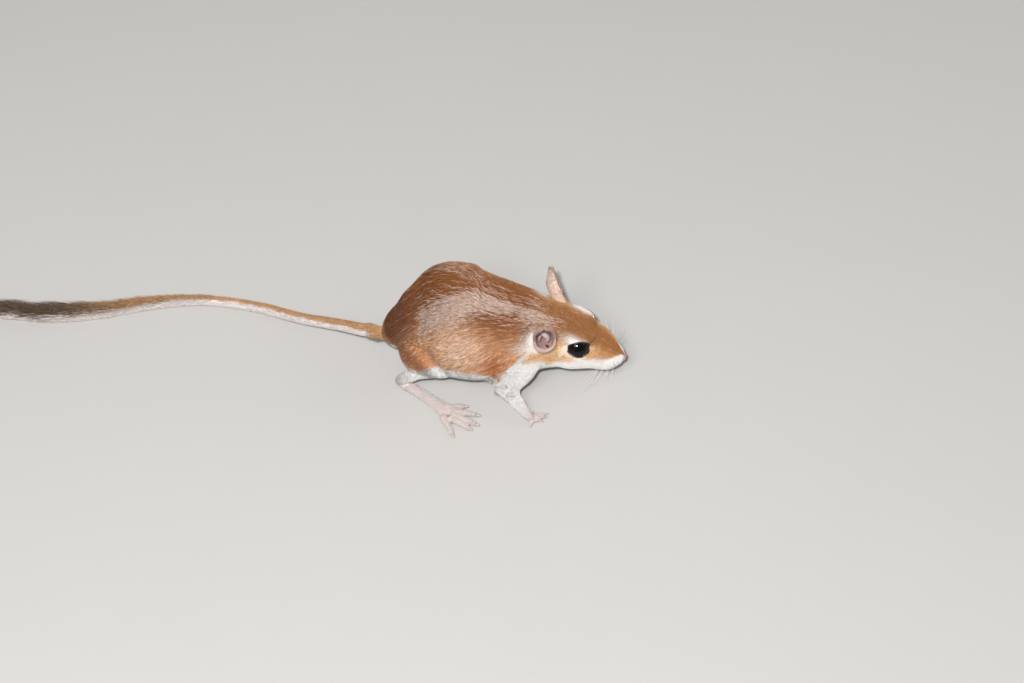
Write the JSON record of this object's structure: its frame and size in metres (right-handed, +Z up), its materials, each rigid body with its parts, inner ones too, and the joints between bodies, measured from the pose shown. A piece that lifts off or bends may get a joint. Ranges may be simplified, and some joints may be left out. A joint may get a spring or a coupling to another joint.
{
  "type": "gerbil",
  "caption": "Life-size sand-coloured desert gerbil standing low on all four feet, its head turned a little to its right and its long tufted tail laid along the ground.",
  "frame": {"origin": "middle of the whole box at ground level", "axes": "+X towards the head, +Y the animal's left, +Z up"},
  "size_m": [0.2138, 0.0602, 0.0369],
  "materials": {
    "coat": "soft short fur, orange-brown above and white below",
    "white_coat": "soft short white fur",
    "foot_skin": "pale pink skin under thin white hair",
    "ear_skin": "thin, nearly bare mauve-pink skin with a downy rim",
    "eye": "wet, glossy black",
    "tail_coat": "very short fur, tan above and white below",
    "tuft": "longer grey-brown hair, lying back along the tail"
  },
  "bodies": {
    "root": {"torso": "coat", "neck": "coat", "head": "coat", "eye_right": "eye", "eye_left": "eye", "ear_right": "ear_skin", "ear_left": "ear_skin", "hind_leg_right": "coat", "hind_leg_left": "coat", "hind_foot_right": "foot_skin", "hind_foot_left": "foot_skin", "foreleg_right": "white_coat", "foreleg_left": "white_coat", "forefoot_right": "foot_skin", "forefoot_left": "foot_skin", "tail_base": "tail_coat", "tail_middle": "tail_coat", "tail_end": "tail_coat", "tail_tuft": "tuft"}
  },
  "joints": []
}
